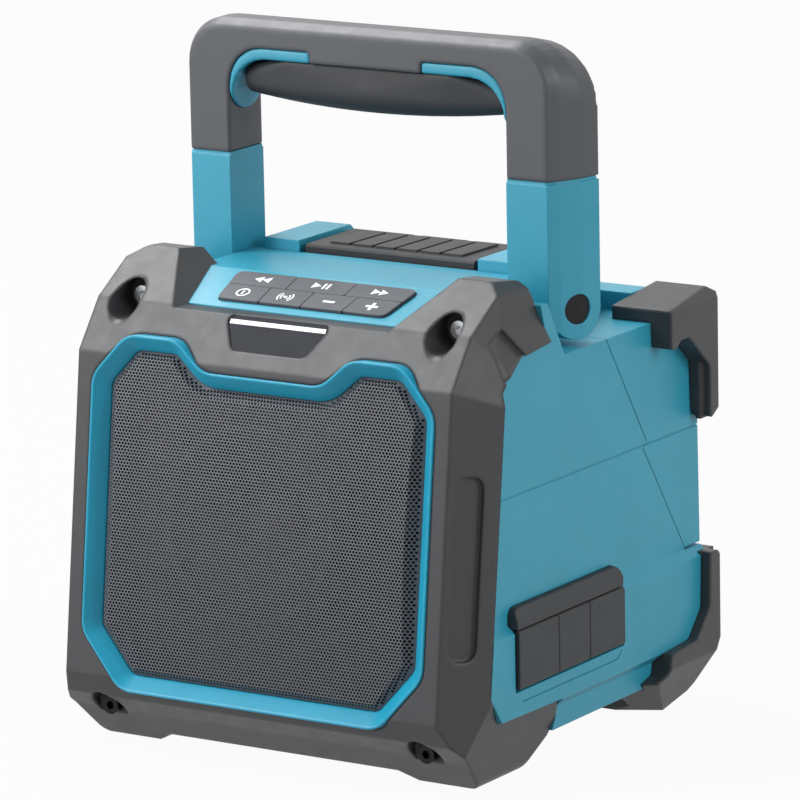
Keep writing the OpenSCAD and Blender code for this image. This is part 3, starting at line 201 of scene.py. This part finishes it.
own_looks = {
    # Painted highlight on the latch's edges as well.
    "cover_latch": Shader("latch_dark", srgb("28292b"), 0.58).mottle(0.012, 0.05).edge_highlight(0.0006, 1.4)
        .grain(0.0006, 0.00005).set(Specular_IOR_Level=0.35),
    # Painted shade: the front screws turn near black below a height of 0.1, standing in for the shadow deep in the
    # lower wells.
    "front_screws": Shader("screw_steel", srgb("dcdee1"), 0.32, 1.0).mottle(0.004, 0.12)
        .below(0.1, srgb("2a2a2c")).grain(0.0004, 0.00002),
    "woofer_screws": Shader("black_steel", srgb("242527"), 0.5, 1.0).mottle(0.004, 0.12)
        .grain(0.0004, 0.00002),
}

node_slot = {s["node"]: s["material_slot"] for s in frame["record"]["subparts"]}
for name, obj in nodes.items():
    obj.data.materials.clear()
    obj.data.materials.append(own_looks.get(name, looks[node_slot[name]]).mat)


# Edges of the moulded pieces

def add(obj, kind, **values):
    made = obj.modifiers.new(kind.lower(), kind)
    for key, value in values.items():
        setattr(made, key, value)
    return made


def moulded(name, voxel, rounds):
    """Soft moulding: every edge rounded by smoothing a fine remesh."""
    obj = nodes[name]
    add(obj, "WELD", merge_threshold=SAME_PLACE)
    add(obj, "REMESH", mode="VOXEL", voxel_size=voxel, use_smooth_shade=True)
    add(obj, "SMOOTH", factor=0.5, iterations=rounds)


def edged(name, width, angle=28, segments=2):
    """Hard moulding: flat faces stay flat, edges get a small radius."""
    obj = nodes[name]
    for p in obj.data.polygons:
        p.use_smooth = True
    add(obj, "WELD", merge_threshold=SAME_PLACE)
    add(obj, "DECIMATE", decimate_type="DISSOLVE", angle_limit=math.radians(0.05))
    add(obj, "BEVEL", width=width, segments=segments, limit_method="ANGLE",
        angle_limit=math.radians(angle), use_clamp_overlap=True, miter_outer="MITER_ARC")
    add(obj, "WEIGHTED_NORMAL", weight=60, keep_sharp=False)


for name in ("handle_shell", "handle_grip", "handle_trim_left", "handle_trim_right"):
    moulded(name, 0.0008, 4)
for name in ("port_spine", "flap_charge", "flap_aux", "flap_usb"):
    edged(name, 0.0007, 35)


# Helpers for new pieces

def new_object(name, mesh, material):
    obj = bpy.data.objects.new(name, mesh)
    bpy.context.scene.collection.objects.link(obj)
    mesh.materials.append(material)
    return obj


def mesh_piece(name, body, bm, material, smooth=False):
    """A closed piece, with its faces turned outwards."""
    mesh = bpy.data.meshes.new(name)
    bmesh.ops.recalc_face_normals(bm, faces=bm.faces)
    bm.to_mesh(mesh)
    bm.free()
    obj = new_object(name, mesh, material)
    for p in mesh.polygons:
        p.use_smooth = smooth
    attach(obj, body)
    return obj


# Bezel and perforated grille, both made from the outline of the CAD bezel

front = Vector(joints["cone_stroke"]["axis"]).normalized()
face_up = Vector((1, 0, 0)).cross(front) * -1


def on_face(p, height):
    """Point of the front, from its place on the face and its height above it."""
    return Vector((p.x, 0, 0)) + face_up * p.y + front * height


def pairs(loop):
    return zip(loop, loop[1:] + loop[:1])


def crown_outline(obj):
    """Outer edge of the piece's foremost face, as points on the face, anticlockwise."""
    bm = bmesh.new()
    bm.from_mesh(obj.data)
    bmesh.ops.remove_doubles(bm, verts=bm.verts, dist=SAME_PLACE)
    crown = max(v.co.dot(front) for v in bm.verts) - 0.0001
    nexts = {}
    for e in bm.edges:
        if len(e.link_faces) == 2 and min(v.co.dot(front) for v in e.verts) > crown:
            upright, flat = sorted(f.normal.dot(front) for f in e.link_faces)
            if abs(upright) < 0.2 and flat > 0.98:
                for v, w in (e.verts, reversed(e.verts)):
                    nexts.setdefault(v, []).append(w)
    start = min(nexts, key=lambda v: v.co.x)
    loop, last, here = [start], None, start
    while True:
        last, here = here, [v for v in nexts[here] if v != last][0]
        if here == start:
            break
        loop.append(here)
    points = [Vector((v.co.x, v.co.dot(face_up))) for v in loop]
    bm.free()
    if sum(a.x * b.y - b.x * a.y for a, b in pairs(points)) < 0:
        points.reverse()
    return points


def inset(loop, d):
    """The outline moved inwards by d."""
    moved = []
    for k, p in enumerate(loop):
        a, b = (p - loop[k - 1]).normalized(), (loop[(k + 1) % len(loop)] - p).normalized()
        m, n = Vector((-a.y, a.x)), Vector((-b.y, b.x))
        moved.append(p + (m + n) * d / (1 + m.dot(n)))
    return moved


bezel_edge = crown_outline(nodes["grille_bezel"])
bezel_heights = [v.co.dot(front) for v in nodes["grille_bezel"].data.vertices]
bezel_base, bezel_crown = min(bezel_heights), max(bezel_heights)
BEZEL_W, BEZEL_DIP = 0.007, 0.0058
BOW_READ_AT, BOW_READ_BESIDE, BOW_READ_FROM = (0.15, 0.5, 0.85), 0.75, 0.03


def funnel_bezel():
    """Frame whose inside slopes down to the grille on every side, with a rounded lip."""
    section = [(0, bezel_base - bezel_crown), (0, -0.0005), (0.00015, -0.00015), (0.0005, 0), (0.0009, 0),
               (0.0013, -0.0002), (0.0016, -0.00055), (BEZEL_W - 0.0002, 0.0002 - BEZEL_DIP),
               (BEZEL_W, -BEZEL_DIP), (BEZEL_W, bezel_base - bezel_crown)]
    bm = bmesh.new()
    rings = [[bm.verts.new(on_face(p, bezel_crown + h)) for p in inset(bezel_edge, d)] for d, h in section]
    for low, high in pairs(rings):
        for (a, b), (c, d) in zip(pairs(low), pairs(high)):
            bm.faces.new((a, b, d, c))
    obj = mesh_piece("bezel_frame", "housing", bm, bezel_teal.mat, smooth=True)
    add(obj, "WEIGHTED_NORMAL", weight=60, keep_sharp=False)
    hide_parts("grille_bezel")


funnel_bezel()


def closest(p, a, b):
    """Point of the stretch from a to b that is nearest to p."""
    return a.lerp(b, min(1, max(0, intersect_point_line(p, a, b)[1])))


def perforated_grille(pitch, hole, rim, thick, play, drop, rise):
    """Bowed like the CAD sheet, with a border that slopes down to the bezel, and rows of six-sided holes.

    The border starts drop below the bezel's inner edge and play away from it, and climbs at the slope rise.
    No hole comes nearer to the edge than rim.
    """
    source = nodes["speaker_grille"].data
    tree = BVHTree.FromPolygons([v.co for v in source.vertices], [f.vertices for f in source.polygons])
    level = bezel_crown - BEZEL_DIP - drop
    corners = inset(bezel_edge, BEZEL_W + play)
    edge = []
    for a, b in pairs(corners):
        parts = max(1, math.ceil((b - a).length / pitch))
        edge += [a.lerp(b, k / parts) for k in range(parts)]
    near = KDTree(len(edge))
    for k, p in enumerate(edge):
        near.insert(p.to_3d(), k)
    near.balance()

    def gap(p):
        k = near.find(p.to_3d())[1]
        a, b, c = edge[k - 1], edge[k], edge[(k + 1) % len(edge)]
        return min((closest(p, a, b) - p).length, (closest(p, b, c) - p).length)

    def inside(p):
        odd = False
        for a, b in pairs(corners):
            if (a.y > p.y) != (b.y > p.y) and p.x < a.x + (p.y - a.y) * (b.x - a.x) / (b.y - a.y):
                odd = not odd
        return odd

    low, high = min(p.y for p in edge), max(p.y for p in edge)
    wide = max(abs(p.x) for p in edge)

    # The bow is read from the CAD sheet at three heights, to the right of the notch
    heights = [low + (high - low) * part for part in BOW_READ_AT]
    bows = []
    for y in heights:
        above = on_face(Vector((wide * BOW_READ_BESIDE, y)), level + BOW_READ_FROM)
        bows.append(tree.ray_cast(above, -front)[0].dot(front))

    def bowed(y):
        (a, b, c), (p, q, r) = heights, bows
        return (p * (y - b) * (y - c) / ((a - b) * (a - c)) + q * (y - a) * (y - c) / ((b - a) * (b - c))
                + r * (y - a) * (y - b) / ((c - a) * (c - b)))

    points, rings = list(edge), [list(range(len(edge)))]
    row_h = pitch * math.sqrt(3) / 2
    cols = int(wide / pitch) + 1
    for row in range(int((high - low) / row_h) + 1):
        for col in range(-cols, cols + 1):
            p = Vector(((col + 0.5 * (row % 2)) * pitch, low + row * row_h))
            if not inside(p) or gap(p) < hole + rim:
                continue
            rings.append(list(range(len(points), len(points) + 6)))
            for k in range(6):
                turn = math.radians(30 + 60 * k)
                points.append(p + Vector((math.cos(turn), math.sin(turn))) * hole)

    flat, _, faces, _, _, owners = delaunay_2d_cdt(points, [], rings, 1, 1e-7)
    bm = bmesh.new()
    verts = [bm.verts.new(on_face(p, min(bowed(p.y), level + rise * gap(p)))) for p in flat]
    for face, owner in zip(faces, owners):
        if owner == [0]:
            bm.faces.new([verts[k] for k in face])
    bmesh.ops.delete(bm, geom=[v for v in bm.verts if not v.link_faces], context="VERTS")
    for f in bm.faces:
        f.normal_update()
        if f.normal.dot(front) < 0:
            f.normal_flip()
    mesh = bpy.data.meshes.new("grille_sheet")
    bm.to_mesh(mesh)
    bm.free()
    obj = new_object("grille_sheet", mesh, looks["grille_steel"].mat)
    add(obj, "SOLIDIFY", thickness=thick, offset=-1)
    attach(obj, "housing")
    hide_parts("speaker_grille")


perforated_grille(pitch=0.0016, hole=0.00066, rim=0.0003, thick=0.0006, play=0.0002, drop=0.0004, rise=0.92)


# Symbols on the keys

inward = Vector(joints["power_press"]["axis"]).normalized()
key_out = -inward
key_up = Vector((1, 0, 0)).cross(key_out) * -1


def symbol(node_name, body, shapes, sink=0.0002, rise=0.00012):
    """Flat shapes in millimetres, printed on the middle of a key's top."""
    mesh = nodes[node_name].data
    along = [v.co.dot(key_up) for v in mesh.vertices]
    across = [v.co.x for v in mesh.vertices]
    top = max(v.co.dot(key_out) for v in mesh.vertices)
    x0, y0 = (min(across) + max(across)) / 2, (min(along) + max(along)) / 2
    bm = bmesh.new()
    for shape in shapes:
        ring = [[], []]
        for x, y in shape:
            p = Vector((x0 + x * MM, 0, 0)) + key_up * (y0 + y * MM)
            ring[0].append(bm.verts.new(p + key_out * (top - sink)))
            ring[1].append(bm.verts.new(p + key_out * (top + rise)))
        bm.faces.new(ring[1])
        bm.faces.new(ring[0][::-1])
        for i in range(len(shape)):
            j = (i + 1) % len(shape)
            bm.faces.new((ring[0][i], ring[0][j], ring[1][j], ring[1][i]))
    mesh_piece(node_name + "_symbol", body, bm, print_white.mat)


def bar(x0, y0, x1, y1):
    return [(x0, y0), (x1, y0), (x1, y1), (x0, y1)]


def arc_band(r0, r1, a0, a1, cx=0.0, cy=0.0, steps=14):
    angles = [math.radians(a0 + (a1 - a0) * k / steps) for k in range(steps + 1)]
    outer = [(cx + r1 * math.cos(a), cy + r1 * math.sin(a)) for a in angles]
    inner = [(cx + r0 * math.cos(a), cy + r0 * math.sin(a)) for a in reversed(angles)]
    return outer + inner


def pointer(x, way, w=4.0, h=2.3):
    """Triangle from x, which points to the right where way is 1 and to the left where it is -1."""
    return [(x, -h), (x + way * w, 0), (x, h)][::way]


symbol("button_power", "power_key", [
    arc_band(2.5, 3.3, -90, 90), arc_band(2.5, 3.3, 90, 270), bar(-0.45, -1.5, 0.45, 1.5)])
symbol("button_pairing", "pairing_key", [
    arc_band(0.0001, 0.9, 0, 345), arc_band(1.8, 2.5, -50, 50), arc_band(3.3, 4.0, -50, 50),
    arc_band(1.8, 2.5, 130, 230), arc_band(3.3, 4.0, 130, 230)])
symbol("button_minus", "minus_key", [bar(-2.9, -0.75, 2.9, 0.75)])
symbol("button_plus", "plus_key", [[
    (-3, -0.75), (-0.75, -0.75), (-0.75, -3), (0.75, -3), (0.75, -0.75), (3, -0.75),
    (3, 0.75), (0.75, 0.75), (0.75, 3), (-0.75, 3), (-0.75, 0.75), (-3, 0.75)]])
symbol("button_previous", "previous_key", [pointer(0.1, -1), pointer(4.1, -1)])
symbol("button_play", "play_key", [pointer(-4.2, 1, 4.2), bar(1.0, -2.2, 2.1, 2.2), bar(3.1, -2.2, 4.2, 2.2)])
symbol("button_next", "next_key", [pointer(-4.1, 1), pointer(-0.1, 1)])


# Studio

FLOOR_HALF, FLOOR_TONE, FLOOR_WHITE = 12.0, 0.35, 0.95
SKY = 0.35


def seen_share(tree, share):
    """Share for the rays that look at the studio, straight or by way of metal and glass; 0 for the rest."""
    path = tree.nodes.new("ShaderNodeLightPath")
    seen = path.outputs["Is Camera Ray"]
    for way in ("Is Glossy Ray", "Is Transmission Ray"):
        both = tree.nodes.new("ShaderNodeMath")
        both.operation = "MAXIMUM"
        tree.links.new(seen, both.inputs[0])
        tree.links.new(path.outputs[way], both.inputs[1])
        seen = both.outputs["Value"]
    scaled = tree.nodes.new("ShaderNodeMath")
    scaled.operation = "MULTIPLY"
    scaled.inputs[1].default_value = share
    tree.links.new(seen, scaled.inputs[0])
    return scaled.outputs["Value"]


floor_look = bpy.data.materials.new("floor")
floor_look.use_nodes = True
floor_tree = floor_look.node_tree
floor_bsdf = floor_tree.nodes["Principled BSDF"]
floor_bsdf.inputs["Base Color"].default_value = (FLOOR_TONE, FLOOR_TONE, FLOOR_TONE, 1)
floor_bsdf.inputs["Roughness"].default_value = 0.9
floor_bsdf.inputs["Specular IOR Level"].default_value = 0.1
floor_white = floor_tree.nodes.new("ShaderNodeEmission")
floor_mix = floor_tree.nodes.new("ShaderNodeMixShader")
floor_tree.links.new(seen_share(floor_tree, FLOOR_WHITE), floor_mix.inputs["Fac"])
floor_tree.links.new(floor_bsdf.outputs["BSDF"], floor_mix.inputs[1])
floor_tree.links.new(floor_white.outputs["Emission"], floor_mix.inputs[2])
floor_tree.links.new(floor_mix.outputs["Shader"], floor_tree.nodes["Material Output"].inputs["Surface"])
floor_mesh = bpy.data.meshes.new("floor")
floor_mesh.from_pydata([(-FLOOR_HALF, -FLOOR_HALF, 0), (FLOOR_HALF, -FLOOR_HALF, 0),
                        (FLOOR_HALF, FLOOR_HALF, 0), (-FLOOR_HALF, FLOOR_HALF, 0)], [], [(0, 1, 2, 3)])
new_object("floor", floor_mesh, floor_look)

world = bpy.data.worlds.new("studio")
bpy.context.scene.world = world
world.use_nodes = True
sky = world.node_tree.nodes["Background"]
sky.inputs["Color"].default_value = (1, 1, 1, 1)
lift = world.node_tree.nodes.new("ShaderNodeMath")
lift.operation = "ADD"
lift.inputs[1].default_value = SKY
world.node_tree.links.new(seen_share(world.node_tree, 1 - SKY), lift.inputs[0])
world.node_tree.links.new(lift.outputs["Value"], sky.inputs["Strength"])


def lamp(name, place, aim, width, watts):
    """Square area lamp, sizes in metres."""
    data = bpy.data.lights.new(name, "AREA")
    data.shape = "SQUARE"
    data.size = width
    data.energy = watts
    obj = bpy.data.objects.new(name, data)
    bpy.context.scene.collection.objects.link(obj)
    obj.location = place
    obj.rotation_euler = (Vector(aim) - Vector(place)).to_track_quat("-Z", "Y").to_euler()


lamp("key", (-1.4, -1.2, 1.9), (0, 0, 0.15), 1.0, 44)
lamp("top", (-1.15, 0.36, 1.9), (0, 0, 0.2), 0.7, 20)
lamp("front", (-0.9, -1.2, 0.5), (0, 0, 0.15), 0.7, 9)
lamp("back", (-1.3, 1.05, 1.9), (0, 0, 0.2), 1.0, 14)
lamp("side", (2.1, 0.1, 1.0), (0, 0, 0.15), 1.0, 19)

# Camera at the photograph's viewing angle
AZIMUTH, ELEVATION, ROLL = math.radians(33.12), math.radians(12.548), math.radians(1.2)
FOCAL_PX, DISTANCE, IMAGE = 6080.23, 2.64034, 800
CENTRE_X, CENTRE_Y = 383.11, 393.19
TARGET = Vector((0, 0.0046, 0.145))
forward = Vector((-math.sin(AZIMUTH) * math.cos(ELEVATION), math.cos(AZIMUTH) * math.cos(ELEVATION),
                  -math.sin(ELEVATION)))
level = Vector((math.cos(AZIMUTH), math.sin(AZIMUTH), 0))
right = level * math.cos(ROLL) - level.cross(forward) * math.sin(ROLL)
upward = level * math.sin(ROLL) + level.cross(forward) * math.cos(ROLL)
aimed = (forward * FOCAL_PX + right * (IMAGE / 2 - CENTRE_X) - upward * (IMAGE / 2 - CENTRE_Y)).normalized()
right = (right - aimed * right.dot(aimed)).normalized()
upward = right.cross(aimed)
cam = bpy.data.cameras.new("camera")
cam.sensor_width = 36
cam.lens = FOCAL_PX * cam.sensor_width / IMAGE
camera = bpy.data.objects.new("camera", cam)
bpy.context.scene.collection.objects.link(camera)
camera.matrix_world = Matrix.Translation(TARGET - forward * DISTANCE) @ Matrix(
    (right, upward, -aimed)).transposed().to_4x4()
bpy.context.scene.camera = camera
bpy.context.scene.view_settings.view_transform = "Standard"

bpy.context.view_layer.update()
